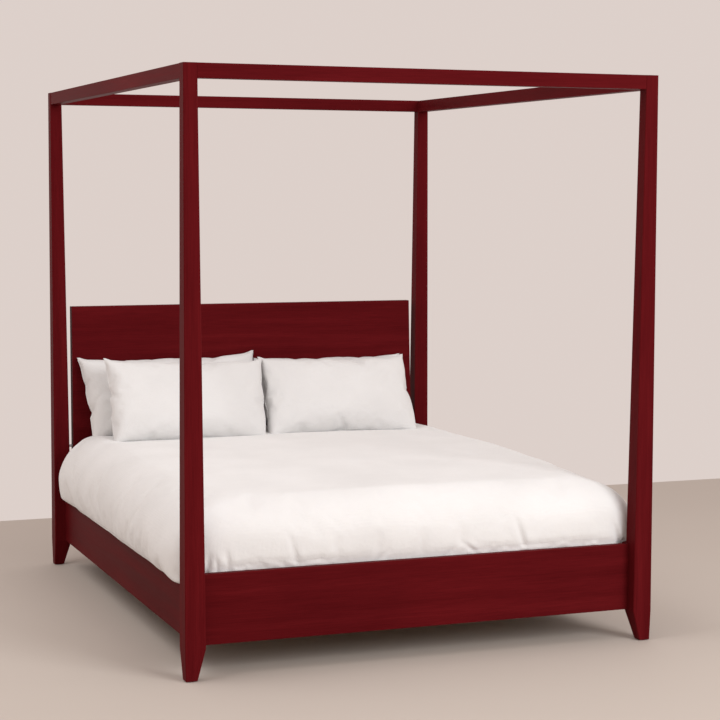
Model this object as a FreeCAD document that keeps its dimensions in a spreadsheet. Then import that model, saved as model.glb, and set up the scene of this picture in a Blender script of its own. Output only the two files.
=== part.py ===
import FreeCAD, Part
import os
import Sketcher

# Four poster bed for a 1600 x 2000 mm mattress. +X is the bed's width, +Y runs from foot to head, +Z is up.
# The origin is on the floor at the centre of the plan. Left is -X, foot is -Y. Lengths are in millimetres.

DIMENSIONS = [
    ("width", 1750),            # over the posts, side to side
    ("length", 2150),           # over the posts, foot to head
    ("height", 2040),           # floor to the top of the tester
    ("post_top", 48),           # square of a post at its top
    ("post_base", 72),          # square of a post at the underside of the rails
    ("foot_inset", 3),          # from a post's outer face to its foot at the floor
    ("foot_size", 41),          # square of the foot at the floor
    ("post_ease", 2.5),         # flat taken off a post's long edges
    ("glide_thick", 3),         # felt glide under each foot
    ("glide_wide", 32),
    ("glide_pin", 3),
    ("glide_pin_long", 15),
    ("rail_low", 110),          # underside of the lower rails
    ("rail_high", 350),         # top of the lower rails
    ("rail_thick", 27),
    ("rail_recess", 45),        # from the posts' outer faces to the rails' outer faces
    ("edge_round", 2),          # rounding of the rails' long edges
    ("fit_gap", 0.2),           # hairline at each joint face
    ("tester_tall", 50),
    ("tester_thick", 45),
    ("tester_set", 1.5),        # from the posts' outer faces to the tester rails' outer faces
    ("tester_round", 2),
    ("dowel_wide", 10),
    ("dowel_bore", 10.3),
    ("tester_dowel_start", 31),
    ("tester_dowel_long", 47),
    ("tester_dowel_level", 2004),
    ("board_top", 1123),        # top of the headboard
    ("board_thick", 38),
    ("board_rake", 33),         # how far the headboard leans back from bottom to top
    ("board_half_low", 792),
    ("board_half_top", 788),
    ("board_round", 3),
    ("board_lift", 0.3),
    ("board_pin_low", 425),
    ("board_pin_high", 520),
    ("board_pin_long", 72),
    ("board_pin_start", 40),
    ("board_dowel_in", 250),
    ("board_dowel_out", 600),
    ("board_dowel_deep", 30),
    ("fastener_low", 173),      # middle height of the foot and head rails' hook fasteners
    ("fastener_high", 286),     # middle height of the side rails' hook fasteners
    ("plate_tall", 96),
    ("plate_wide", 16),
    ("plate_thick", 3),
    ("plate_sunk", 1.2),        # from the joint face to a fastener plate's outer face
    ("mortise_room", 0.3),      # clearance round a plate in its mortise
    ("hook_thick", 3),
    ("hook_reach", 10),
    ("hook_upper", 14),
    ("hook_lower", -22),
    ("hook_half", 5),
    ("hook_drop", 14),
    ("hook_start", 4.7),
    ("slot_wide", 4.4),
    ("slot_down", 5.3),
    ("slot_up", 14.7),
    ("hook_pocket_deep", 12),
    ("hook_pocket_wide", 6),
    ("hook_pocket_low", -38),
    ("hook_pocket_high", 31),
    ("screw_wide", 4),
    ("screw_bore", 4.3),
    ("screw_long", 27),
    ("screw_head", 8),
    ("screw_head_thin", 1),
    ("screw_head_tall", 3),
    ("head_bore", 8.4),
    ("plate_screw_offset", 40),
    ("ledge_wide", 30),
    ("ledge_tall", 30),
    ("slat_low", 262),          # top of the ledges and the centre beam, underside of the slats
    ("slat_thick", 18),
    ("slat_wide", 70),
    ("slat_half", 795),
    ("slat_pitch", 137),
    ("slat_round", 3),
    ("slat_screw_deep", 38),
    ("ledge_screw_deep", 46),
    ("beam_wide", 45),
    ("beam_tall", 70),
    ("beam_half", 1000),
    ("hanger_thick", 2.5),
    ("hanger_half", 45),
    ("hanger_deep", 40),
    ("hanger_cheek_top", 250),
    ("hanger_screw_out", 36),
    ("hanger_screw_down", 16),  # upper screws, below the top of the beam
    ("hanger_screw_up", 4),     # lower screws, above the underside of the beam
    ("hanger_screw_deep", 18),
    ("leg_top", 54),
    ("leg_foot", 40),
    ("leg_place", 330),         # centre legs, either side of the middle
    ("leg_bolt_wide", 8),
    ("leg_bolt_bore", 8.4),
    ("leg_bolt_low", 120),
    ("leg_bolt_high", 232),
    ("corner_plate_thick", 3),
    ("corner_plate_near", 9),
    ("corner_plate_wide", 30),
    ("corner_plate_far", 119),
    ("corner_screw_post", 24),
    ("corner_screw_mid", 75),
    ("corner_screw_end", 105),
    ("corner_screw_deep", 24),
    ("mattress_wide", 1600),
    ("mattress_long", 1990),
    ("mattress_thick", 219),
    ("mattress_shift", 6),
    ("mattress_round", 60),
    ("mattress_edge", 18),
    ("mattress_lift", 0.5),
    ("duvet_crown", 596),
    ("duvet_shoulder", 564),
    ("duvet_shoulder_in", 66),  # from the duvet's side to the edge of its flat top
    ("duvet_brow_in", 12),
    ("duvet_brow_down", 62),
    ("duvet_bulge_up", 100),    # widest part of the duvet's side, above its hem
    ("duvet_hem", 302),
    ("duvet_hem_in", 8),
    ("duvet_out", 870),
    ("duvet_rest", 1),          # between the duvet and what it lies on
    ("duvet_head_end", 985),
    ("duvet_foot_end", 1002),
    ("tuck_in", 4),
    ("tuck_step", 6),
    ("tuck_bevel", 40),
    ("tuck_brow", 30),
    ("pillow_wide", 676),
    ("pillow_rear_wide", 735),
    ("pillow_tall", 350),
    ("pillow_thick", 116),
    ("pillow_face_wide", 400),
    ("pillow_face_tall", 170),
    ("pillow_rim_half", 8),     # half the thickness of a pillow at its seam
]

SLATS = 15
LEDGE_SCREWS = 7

doc = FreeCAD.newDocument("FourPosterBed")
dims = doc.addObject("Spreadsheet::Sheet", "Dims")
for row, (alias, value) in enumerate(DIMENSIONS, start=1):
    dims.set("A%d" % row, alias)
    dims.set("B%d" % row, str(value))
    dims.setAlias("B%d" % row, alias)
doc.recompute()

NODES = []


def dim(alias):
    """Expression for one cell of the sheet."""
    return "Dims.%s" % alias


def value_of(expression):
    """Number that an expression gives now."""
    result = dims.evalExpression(expression)
    return float(getattr(result, "Value", result))


def new_body(label):
    """Body for one sub-part."""
    body = doc.addObject("PartDesign::Body", label)
    body.Label = label
    return body


def place(item, x="0", y="0", z="0"):
    """Put an object's own origin at x, y, z, each given as an expression."""
    item.setExpression("Placement.Base.x", x)
    item.setExpression("Placement.Base.y", y)
    item.setExpression("Placement.Base.z", z)


def turn(item, axis, degrees):
    """Turn an object about one of its axes."""
    item.Placement = FreeCAD.Placement(FreeCAD.Vector(0, 0, 0), FreeCAD.Rotation(axis, degrees))


def keep(item, label):
    """Record an object as a node to export."""
    item.Label = label
    NODES.append((label, item))


def mirrored(source, name, normal):
    """Mirror image of an object in a plane through the origin."""
    image = doc.addObject("Part::Mirroring", name)
    image.Source = source
    image.Base = FreeCAD.Vector(0, 0, 0)
    image.Normal = normal
    return image


ACROSS = FreeCAD.Vector(1, 0, 0)
ALONG = FreeCAD.Vector(0, 1, 0)
UP = FreeCAD.Vector(0, 0, 1)


def four_corners(source, name):
    """An object with its images in the other three corners."""
    right = mirrored(source, name + "_right", ACROSS)
    head = mirrored(source, name + "_head", ALONG)
    head_right = mirrored(head, name + "_head_right", ACROSS)
    return [source, right, head, head_right]


def group(label, members):
    """One node that holds several separate identical pieces."""
    compound = doc.addObject("Part::Compound", label)
    compound.Links = members
    keep(compound, label)


def plane_of(body, role):
    """Origin plane of a body."""
    for feature in body.Origin.OriginFeatures:
        if feature.Role == role:
            return feature
    raise ValueError(role)


def new_sketch(body, role, level):
    """Sketch parallel to an origin plane, at a level along the plane's own axis of the bed."""
    sketch = body.newObject("Sketcher::SketchObject", body.Name + "_sketch")
    sketch.AttachmentSupport = [(plane_of(body, role), "")]
    sketch.MapMode = "FlatFace"
    lift = "-(%s)" % level if role == "XZ_Plane" else level
    sketch.setExpression("AttachmentOffset.Base.z", lift)
    return sketch


def fix_point(sketch, geometry, point, x, y):
    """Tie a point of the sketch to x and y, each given as an expression."""
    for kind, expression in (("DistanceX", x), ("DistanceY", y)):
        index = sketch.addConstraint(
            Sketcher.Constraint(kind, -1, 1, geometry, point, value_of(expression)))
        sketch.setExpression("Constraints[%d]" % index, expression)


def polygon(sketch, corners):
    """Closed outline through corners, each a pair of expressions."""
    points = [FreeCAD.Vector(value_of(x), value_of(y), 0) for x, y in corners]
    first = sketch.GeometryCount
    count = len(points)
    for i in range(count):
        sketch.addGeometry(Part.LineSegment(points[i], points[(i + 1) % count]), False)
    for i in range(count):
        sketch.addConstraint(Sketcher.Constraint("Coincident", first + i, 2, first + (i + 1) % count, 1))
    for i, (x, y) in enumerate(corners):
        fix_point(sketch, first + i, 1, x, y)


def circles(sketch, centres, diameter):
    """Circles of one diameter round centres given as pairs of expressions."""
    for x, y in centres:
        middle = FreeCAD.Vector(value_of(x), value_of(y), 0)
        index = sketch.addGeometry(Part.Circle(middle, UP, value_of(diameter) / 2), False)
        fix_point(sketch, index, 3, x, y)
        constraint = sketch.addConstraint(Sketcher.Constraint("Diameter", index, value_of(diameter)))
        sketch.setExpression("Constraints[%d]" % constraint, diameter)


def rectangle(x_low, x_high, y_low, y_high):
    """Corners of a rectangle from four expressions."""
    return [(x_low, y_low), (x_high, y_low), (x_high, y_high), (x_low, y_high)]


def extrude(body, kind, sketch, role, length, forward):
    """Pad or pocket a sketch forward or backward along the plane's axis of the bed."""
    feature = body.newObject("PartDesign::" + kind, body.Name + "_" + kind.lower())
    feature.Profile = sketch
    feature.setExpression("Length", length)
    runs_forward = role != "XZ_Plane"
    if kind == "Pocket":
        runs_forward = not runs_forward
    feature.Reversed = forward != runs_forward
    return feature


def add_prism(body, role, level, corners, length, forward=True):
    """Add a straight prism with a polygonal section."""
    sketch = new_sketch(body, role, level)
    polygon(sketch, corners)
    return extrude(body, "Pad", sketch, role, length, forward)


def cut_prism(body, role, level, corners, length, forward=True):
    """Take away a straight prism with a polygonal section."""
    sketch = new_sketch(body, role, level)
    polygon(sketch, corners)
    doc.recompute()
    return extrude(body, "Pocket", sketch, role, length, forward)


def add_rods(body, role, level, centres, diameter, length, forward=True):
    """Add round rods."""
    sketch = new_sketch(body, role, level)
    circles(sketch, centres, diameter)
    return extrude(body, "Pad", sketch, role, length, forward)


def bore(body, role, level, centres, diameter, length, forward=True):
    """Drill round holes."""
    sketch = new_sketch(body, role, level)
    circles(sketch, centres, diameter)
    doc.recompute()
    return extrude(body, "Pocket", sketch, role, length, forward)


def add_loft(body, role, sections):
    """Straight-sided solid through polygons, each given as a level and its corners."""
    sketches = []
    for level, corners in sections:
        sketch = new_sketch(body, role, level)
        polygon(sketch, corners)
        sketches.append(sketch)
    loft = body.newObject("PartDesign::AdditiveLoft", body.Name + "_loft")
    loft.Profile = sketches[0]
    loft.Sections = sketches[1:]
    loft.Ruled = True
    return loft


def round_edges(body, direction, shortest, radius):
    """Round every straight edge that runs along a direction and is at least as long as given."""
    doc.recompute()
    base = body.Tip
    names = []
    for number, edge in enumerate(base.Shape.Edges, start=1):
        if edge.Length < shortest:
            continue
        if abs(edge.tangentAt(edge.FirstParameter).dot(direction)) > 0.99:
            names.append("Edge%d" % number)
    fillet = body.newObject("PartDesign::Fillet", body.Name + "_fillet")
    fillet.Base = (base, names)
    fillet.setExpression("Radius", radius)


def post_width_at(level):
    """Square of a post at a level between the rails' underside and its top."""
    taper = "(%s - %s) / (%s - %s)" % (dim("post_base"), dim("post_top"), dim("height"), dim("rail_low"))
    return "(%s + %s * (%s - (%s)))" % (dim("post_top"), taper, dim("height"), level)


def eased_square(near, far):
    """Corners of a square with its corners cut off, from two expressions along the diagonal."""
    ease = dim("post_ease")
    inner_near = "%s + %s" % (near, ease)
    inner_far = "%s - %s" % (far, ease)
    return [(inner_near, near), (inner_far, near), (far, inner_near), (far, inner_far),
            (inner_far, far), (inner_near, far), (near, inner_far), (near, inner_near)]


HALF_WIDTH = "%s / 2" % dim("width")
HALF_LENGTH = "%s / 2" % dim("length")
RAIL_MIDDLE = "(%s + %s / 2)" % (dim("rail_recess"), dim("rail_thick"))
WELL_HALF_WIDTH = "(%s / 2 - %s - %s)" % (dim("width"), dim("rail_recess"), dim("rail_thick"))
WELL_HALF_LENGTH = "(%s / 2 - %s - %s)" % (dim("length"), dim("rail_recess"), dim("rail_thick"))
MORTISE_DEEP = "(%s + %s + %s)" % (dim("plate_sunk"), dim("plate_thick"), dim("mortise_room"))
CLEAR = "2"                     # a cutter starts this far outside the wood
SPARE = "1"                     # a hole runs this much deeper than what it holds
SCREW_HOLE_DEEP = "(%s + %s + 2 * %s)" % (CLEAR, dim("screw_long"), SPARE)
PIN_BORE = "%s + %s" % (dim("glide_pin"), dim("mortise_room"))
PLATE_HOLE = "%s + 0.4" % dim("screw_bore")
CORNER_HOLE_DEEP = "%s + %s" % (dim("corner_screw_deep"), SPARE)


def mortise_outline(middle, level):
    """Section of a fastener plate's mortise, across the rail and up."""
    half_wide = "%s / 2 + %s" % (dim("plate_wide"), dim("mortise_room"))
    half_tall = "%s / 2 + %s" % (dim("plate_tall"), dim("mortise_room"))
    return rectangle("%s - (%s)" % (middle, half_wide), "%s + (%s)" % (middle, half_wide),
                     "%s - (%s)" % (level, half_tall), "%s + (%s)" % (level, half_tall))


def plate_screw_points(middle, level):
    """Places of the two screws of one fastener plate."""
    offset = dim("plate_screw_offset")
    return [(middle, "%s - %s" % (level, offset)), (middle, "%s + %s" % (level, offset))]


def cut_post_socket(body, role, level):
    """Mortise, hook pocket and screw holes for one rail in a post's inner face."""
    face = "%s + %s" % (post_width_at(level), CLEAR)
    half = "%s / 2" % dim("hook_pocket_wide")
    pocket = rectangle("%s - %s" % (RAIL_MIDDLE, half), "%s + %s" % (RAIL_MIDDLE, half),
                       "%s + %s" % (level, dim("hook_pocket_low")), "%s + %s" % (level,
                                                                                 dim("hook_pocket_high")))
    cut_prism(body, role, face, mortise_outline(RAIL_MIDDLE, level), "%s + %s" % (CLEAR, MORTISE_DEEP), False)
    cut_prism(body, role, face, pocket, "%s + %s" % (CLEAR, dim("hook_pocket_deep")), False)
    bore(body, role, face, plate_screw_points(RAIL_MIDDLE, level), dim("screw_bore"),
         SCREW_HOLE_DEEP, False)


def make_post(label, head_end):
    """Tapered post in its own corner: the two outer faces are upright, the two inner faces taper."""
    body = new_body(label)
    add_loft(body, "XY_Plane", [(dim("rail_low"), eased_square("0", dim("post_base"))),
                                (dim("height"), eased_square("0", dim("post_top")))])
    add_loft(body, "XY_Plane", [
        (dim("rail_low"), eased_square("0", dim("post_base"))),
        (dim("glide_thick"), eased_square(dim("foot_inset"), "%s + %s" % (dim("foot_inset"),
                                                                          dim("foot_size"))))])
    cut_post_socket(body, "YZ_Plane", dim("fastener_low"))
    cut_post_socket(body, "XZ_Plane", dim("fastener_high"))
    top_face = "%s + %s" % (post_width_at(dim("height")), CLEAR)
    dowel_place = [(dim("corner_screw_post"), dim("tester_dowel_level"))]
    for role in ("YZ_Plane", "XZ_Plane"):
        bore(body, role, top_face, dowel_place, dim("dowel_bore"),
             "%s - %s + %s" % (top_face, dim("tester_dowel_start"), SPARE), False)
    near = "%s - %s" % (dim("corner_plate_near"), dim("mortise_room"))
    far = "%s + %s + %s" % (dim("corner_plate_near"), dim("corner_plate_wide"), dim("mortise_room"))
    beyond = dim("post_base")
    cut_prism(body, "XY_Plane", dim("height"),
              [(near, near), (beyond, near), (beyond, far), (far, far), (far, beyond), (near, beyond)],
              "%s + %s" % (dim("corner_plate_thick"), dim("mortise_room")), False)
    bore(body, "XY_Plane", dim("height"), [(dim("corner_screw_post"), dim("corner_screw_post"))],
         dim("screw_bore"), CORNER_HOLE_DEEP, False)
    foot_middle = "%s + %s / 2" % (dim("foot_inset"), dim("foot_size"))
    bore(body, "XY_Plane", dim("glide_thick"), [(foot_middle, foot_middle)], PIN_BORE,
         "%s + %s" % (dim("glide_pin_long"), SPARE), True)
    if head_end:
        for level in (dim("board_pin_low"), dim("board_pin_high")):
            face = "%s + %s" % (post_width_at(level), CLEAR)
            bore(body, "YZ_Plane", face, [(board_middle_from_back(level), level)], dim("dowel_bore"),
                 "%s - %s + %s" % (face, dim("board_pin_start"), SPARE), False)
    return body


def board_lean_at(level):
    """How far back the headboard's front face has gone at a level."""
    return "(%s * (%s - %s) / (%s - %s))" % (dim("board_rake"), level, dim("rail_high"), dim("board_top"),
                                             dim("rail_high"))


def board_middle_from_back(level):
    """Distance of the headboard's middle from the posts' back faces at a level."""
    return "(%s + %s - %s - %s / 2)" % (dim("rail_recess"), dim("rail_thick"), board_lean_at(level),
                                        dim("board_thick"))


def make_posts():
    """Two foot posts and two head posts."""
    foot = make_post("post_foot_left", False)
    place(foot, "-(%s)" % HALF_WIDTH, "-(%s)" % HALF_LENGTH)
    keep(foot, "post_foot_left")
    keep(mirrored(foot, "post_foot_right", ACROSS), "post_foot_right")
    pattern = make_post("post_head_pattern", True)
    place(pattern, "-(%s)" % HALF_WIDTH, "-(%s)" % HALF_LENGTH)
    head = mirrored(pattern, "post_head_left", ALONG)
    keep(head, "post_head_left")
    keep(mirrored(head, "post_head_right", ACROSS), "post_head_right")


def rail_outline(half_span, low, high):
    """Side view of a rail whose ends follow the posts' taper."""
    low_half = "%s - %s - %s" % (half_span, post_width_at(low), dim("fit_gap"))
    high_half = "%s - %s - %s" % (half_span, post_width_at(high), dim("fit_gap"))
    return [("-(%s)" % low_half, low), (low_half, low), (high_half, high), ("-(%s)" % high_half, high)]


def cut_rail_end(body, role, half_span, level, side):
    """Mortise and screw holes for a fastener plate in one end of a rail."""
    end = "%s - %s + %s" % (half_span, post_width_at(level), CLEAR)
    middle = "%s / 2" % dim("rail_thick")
    start = end if side > 0 else "-(%s)" % end
    cut_prism(body, role, start, mortise_outline(middle, level), "%s + %s" % (CLEAR, MORTISE_DEEP), side < 0)
    bore(body, role, start, plate_screw_points(middle, level), dim("screw_bore"),
         SCREW_HOLE_DEEP, side < 0)


def make_cross_rail(label):
    """Lower rail across the bed, in its own frame with its outer face on the XZ plane."""
    body = new_body(label)
    add_prism(body, "XZ_Plane", "0", rail_outline(HALF_WIDTH, dim("rail_low"), dim("rail_high")),
              dim("rail_thick"))
    round_edges(body, ACROSS, 1000, dim("edge_round"))
    for side in (-1, 1):
        cut_rail_end(body, "YZ_Plane", HALF_WIDTH, dim("fastener_low"), side)
    for side in (-1, 1):
        points = [("%d * %s" % (side, dim("hanger_screw_out")), level) for level in hanger_screw_levels()]
        bore(body, "XZ_Plane", dim("rail_thick"), points, dim("screw_bore"), dim("hanger_screw_deep"), False)
    return body


def hanger_screw_levels():
    """Heights of the beam hangers' screws."""
    return ["%s - %s" % (dim("slat_low"), dim("hanger_screw_down")),
            "%s - %s + %s" % (dim("slat_low"), dim("beam_tall"), dim("hanger_screw_up"))]


def make_side_rail(label):
    """Lower rail along the bed, in its own frame with its outer face on the YZ plane."""
    body = new_body(label)
    add_prism(body, "YZ_Plane", "0", rail_outline(HALF_LENGTH, dim("rail_low"), dim("rail_high")),
              dim("rail_thick"))
    round_edges(body, ALONG, 1000, dim("edge_round"))
    for side in (-1, 1):
        cut_rail_end(body, "XZ_Plane", HALF_LENGTH, dim("fastener_high"), side)
    bore(body, "YZ_Plane", dim("rail_thick"), ledge_screw_points(), dim("screw_bore"),
         "%s - %s + %s" % (dim("ledge_screw_deep"), dim("ledge_wide"), SPARE), False)
    return body


def slat_place(index):
    """Middle of a slat along the bed."""
    return "%s * (%s)" % (dim("slat_pitch"), index - (SLATS - 1) / 2)


def ledge_screw_points():
    """Places of a ledge's screws, between slats, along the bed and up."""
    level = "%s - %s / 2" % (dim("slat_low"), dim("ledge_tall"))
    return [(slat_place(2 * index + 0.5), level) for index in range(LEDGE_SCREWS)]


def make_lower_rails():
    """Foot rail, head rail and two side rails."""
    foot = make_cross_rail("foot_rail")
    place(foot, "0", "-(%s) + %s" % (HALF_LENGTH, dim("rail_recess")))
    keep(foot, "foot_rail")
    pattern = make_cross_rail("head_rail_pattern")
    for out in (dim("board_dowel_in"), dim("board_dowel_out")):
        bore(pattern, "XY_Plane", dim("rail_high"),
             [(out, "%s / 2" % dim("rail_thick")), ("-(%s)" % out, "%s / 2" % dim("rail_thick"))],
             dim("dowel_bore"), "%s + %s" % (dim("board_dowel_deep"), SPARE), False)
    place(pattern, "0", "-(%s) + %s" % (HALF_LENGTH, dim("rail_recess")))
    keep(mirrored(pattern, "head_rail", ALONG), "head_rail")
    side = make_side_rail("side_rail_left")
    place(side, "-(%s) + %s" % (HALF_WIDTH, dim("rail_recess")))
    keep(side, "side_rail_left")
    keep(mirrored(side, "side_rail_right", ACROSS), "side_rail_right")


def make_tester_rail(label, role, half_span, direction):
    """Top rail between two posts, in its own frame with its outer face on an origin plane."""
    body = new_body(label)
    low = "%s - %s" % (dim("height"), dim("tester_tall"))
    add_prism(body, role, "0", rail_outline(half_span, low, dim("height")), dim("tester_thick"))
    round_edges(body, direction, 1000, dim("tester_round"))
    end = "%s - %s + %s" % (half_span, dim("post_top"), CLEAR)
    end_role = "YZ_Plane" if role == "XZ_Plane" else "XZ_Plane"
    across = "%s - %s" % (dim("corner_screw_post"), dim("tester_set"))
    reach = "%s + %s - %s + %s + %s" % (dim("tester_dowel_start"), dim("tester_dowel_long"),
                                        dim("post_top"), CLEAR,
                                        SPARE)
    plate_depth = "%s + %s" % (dim("corner_plate_thick"), dim("mortise_room"))
    near = "%s - %s - %s" % (dim("corner_plate_near"), dim("tester_set"), dim("mortise_room"))
    far = "%s + %s + 2 * %s" % (near, dim("corner_plate_wide"), dim("mortise_room"))
    plate_end = "%s - %s - %s" % (half_span, dim("corner_plate_far"), dim("mortise_room"))
    for side in (-1, 1):
        start = end if side > 0 else "-(%s)" % end
        bore(body, end_role, start, [(across, dim("tester_dowel_level"))], dim("dowel_bore"), reach, side < 0)
        ends = [plate_end, end] if side > 0 else ["-(%s)" % end, "-(%s)" % plate_end]
        screws = []
        for distance in (dim("corner_screw_mid"), dim("corner_screw_end")):
            screws.append("%d * (%s - %s)" % (side, half_span, distance))
        if role == "XZ_Plane":
            outline = rectangle(ends[0], ends[1], near, far)
            centres = [(screw, across) for screw in screws]
        else:
            outline = rectangle(near, far, ends[0], ends[1])
            centres = [(across, screw) for screw in screws]
        cut_prism(body, "XY_Plane", dim("height"), outline, plate_depth, False)
        bore(body, "XY_Plane", dim("height"), centres, dim("screw_bore"), CORNER_HOLE_DEEP, False)
    return body


def make_tester():
    """Four top rails."""
    foot = make_tester_rail("tester_rail_foot", "XZ_Plane", HALF_WIDTH, ACROSS)
    place(foot, "0", "-(%s) + %s" % (HALF_LENGTH, dim("tester_set")))
    keep(foot, "tester_rail_foot")
    keep(mirrored(foot, "tester_rail_head", ALONG), "tester_rail_head")
    left = make_tester_rail("tester_rail_left", "YZ_Plane", HALF_LENGTH, ALONG)
    place(left, "-(%s) + %s" % (HALF_WIDTH, dim("tester_set")))
    keep(left, "tester_rail_left")
    keep(mirrored(left, "tester_rail_right", ACROSS), "tester_rail_right")


def make_corner_plates():
    """Flat steel plates let into the tester's four corners."""
    body = new_body("tester_plate_foot_left")
    near = dim("corner_plate_near")
    inner = "%s + %s" % (near, dim("corner_plate_wide"))
    far = dim("corner_plate_far")
    add_prism(body, "XY_Plane", "%s - %s" % (dim("height"), dim("corner_plate_thick")),
              [(near, near), (far, near), (far, inner), (inner, inner), (inner, far), (near, far)],
              dim("corner_plate_thick"))
    bore(body, "XY_Plane", dim("height"), corner_screw_points(), dim("head_bore"),
         dim("corner_plate_thick"), False)
    place(body, "-(%s)" % HALF_WIDTH, "-(%s)" % HALF_LENGTH)
    names = ["tester_plate_foot_left", "tester_plate_foot_right", "tester_plate_head_left",
             "tester_plate_head_right"]
    for name, item in zip(names, four_corners(body, "tester_plate")):
        keep(item, name)


def corner_screw_points():
    """Places of one corner plate's five screws in plan."""
    post = dim("corner_screw_post")
    outer = [dim("corner_screw_mid"), dim("corner_screw_end")]
    return [(post, post)] + [(place_, post) for place_ in outer] + [(post, place_) for place_ in outer]


def make_corner_screws():
    """Screws of the corner plates."""
    body = new_body("corner_screws")
    add_rods(body, "XY_Plane", dim("height"), corner_screw_points(), dim("screw_head"),
             dim("screw_head_tall"), False)
    add_rods(body, "XY_Plane", "%s - %s" % (dim("height"), dim("screw_head_tall")), corner_screw_points(),
             dim("screw_wide"), "%s - %s" % (dim("corner_screw_deep"), dim("screw_head_tall")), False)
    place(body, "-(%s)" % HALF_WIDTH, "-(%s)" % HALF_LENGTH)
    group("tester_plate_screws", four_corners(body, "corner_screws"))


def make_tester_dowels():
    """Two dowels in each corner of the tester, one per rail end."""
    body = new_body("tester_dowel_pair")
    for role in ("YZ_Plane", "XZ_Plane"):
        add_rods(body, role, dim("tester_dowel_start"),
                 [(dim("corner_screw_post"), dim("tester_dowel_level"))],
                 dim("dowel_wide"), dim("tester_dowel_long"))
    place(body, "-(%s)" % HALF_WIDTH, "-(%s)" % HALF_LENGTH)
    group("tester_dowels", four_corners(body, "tester_dowel_pair"))


def place_fastener(body, across_bed):
    """Put a fastener piece at the foot left corner, its +X axis into the post."""
    if across_bed:
        turn(body, UP, 180)
        place(body, "-(%s) + %s" % (HALF_WIDTH, post_width_at(dim("fastener_low"))),
              "-(%s) + %s" % (HALF_LENGTH, RAIL_MIDDLE), dim("fastener_low"))
    else:
        turn(body, UP, -90)
        place(body, "-(%s) + %s" % (HALF_WIDTH, RAIL_MIDDLE),
              "-(%s) + %s" % (HALF_LENGTH, post_width_at(dim("fastener_high"))), dim("fastener_high"))


def plate_outline():
    """Section of a fastener plate, across and up."""
    half_wide = "%s / 2" % dim("plate_wide")
    half_tall = "%s / 2" % dim("plate_tall")
    return rectangle("-(%s)" % half_wide, half_wide, "-(%s)" % half_tall, half_tall)


def make_hook_plate(name, across_bed):
    """Steel plate on a rail's end with two hooks that drop behind the post's slot plate."""
    body = new_body(name)
    inner = "-(%s) - %s" % (dim("plate_sunk"), dim("plate_thick"))
    add_prism(body, "YZ_Plane", inner, plate_outline(), dim("plate_thick"))
    for hook in (dim("hook_upper"), dim("hook_lower")):
        low = "%s - %s" % (hook, dim("hook_half"))
        high = "%s + %s" % (hook, dim("hook_half"))
        tip = "%s - %s" % (hook, dim("hook_drop"))
        back = "-(%s) - 1" % dim("plate_sunk")
        add_prism(body, "XZ_Plane", "-(%s) / 2" % dim("hook_thick"),
                  [(back, low), (dim("hook_start"), low), (dim("hook_start"), tip), (dim("hook_reach"), tip),
                   (dim("hook_reach"), high), (back, high)], dim("hook_thick"))
    bore(body, "YZ_Plane", inner, plate_screw_points("0", "0"), PLATE_HOLE, dim("plate_thick"), True)
    place_fastener(body, across_bed)
    return body


def make_slot_plate(name, across_bed):
    """Steel plate in a post's inner face with two slots for the hooks."""
    body = new_body(name)
    add_prism(body, "YZ_Plane", dim("plate_sunk"), plate_outline(), dim("plate_thick"))
    half = "%s / 2" % dim("slot_wide")
    for hook in (dim("hook_upper"), dim("hook_lower")):
        cut_prism(body, "YZ_Plane", dim("plate_sunk"),
                  rectangle("-(%s)" % half, half, "%s - %s" % (hook, dim("slot_down")),
                            "%s + %s" % (hook, dim("slot_up"))), dim("plate_thick"), True)
    bore(body, "YZ_Plane", dim("plate_sunk"), plate_screw_points("0", "0"), PLATE_HOLE, dim("plate_thick"),
         True)
    place_fastener(body, across_bed)
    return body


def make_plate_screws(name, across_bed):
    """The four screws of one rail joint, two into the post and two into the rail."""
    body = new_body(name)
    points = plate_screw_points("0", "0")
    for forward in (True, False):
        start = dim("plate_sunk") if forward else "-(%s)" % dim("plate_sunk")
        add_rods(body, "YZ_Plane", start, points, dim("screw_head"), dim("screw_head_thin"), not forward)
        add_rods(body, "YZ_Plane", start, points, dim("screw_wide"), dim("screw_long"), forward)
    place_fastener(body, across_bed)
    return body


def make_fasteners():
    """Hook fasteners that join the lower rails to the posts, grouped by kind."""
    kinds = [("rail_hook_plates", make_hook_plate), ("post_slot_plates", make_slot_plate),
             ("hook_plate_screws", make_plate_screws)]
    for label, maker in kinds:
        members = []
        for suffix, across_bed in (("_cross", True), ("_side", False)):
            item = maker(label + suffix, across_bed)
            members += four_corners(item, label + suffix)
        group(label, members)


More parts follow.
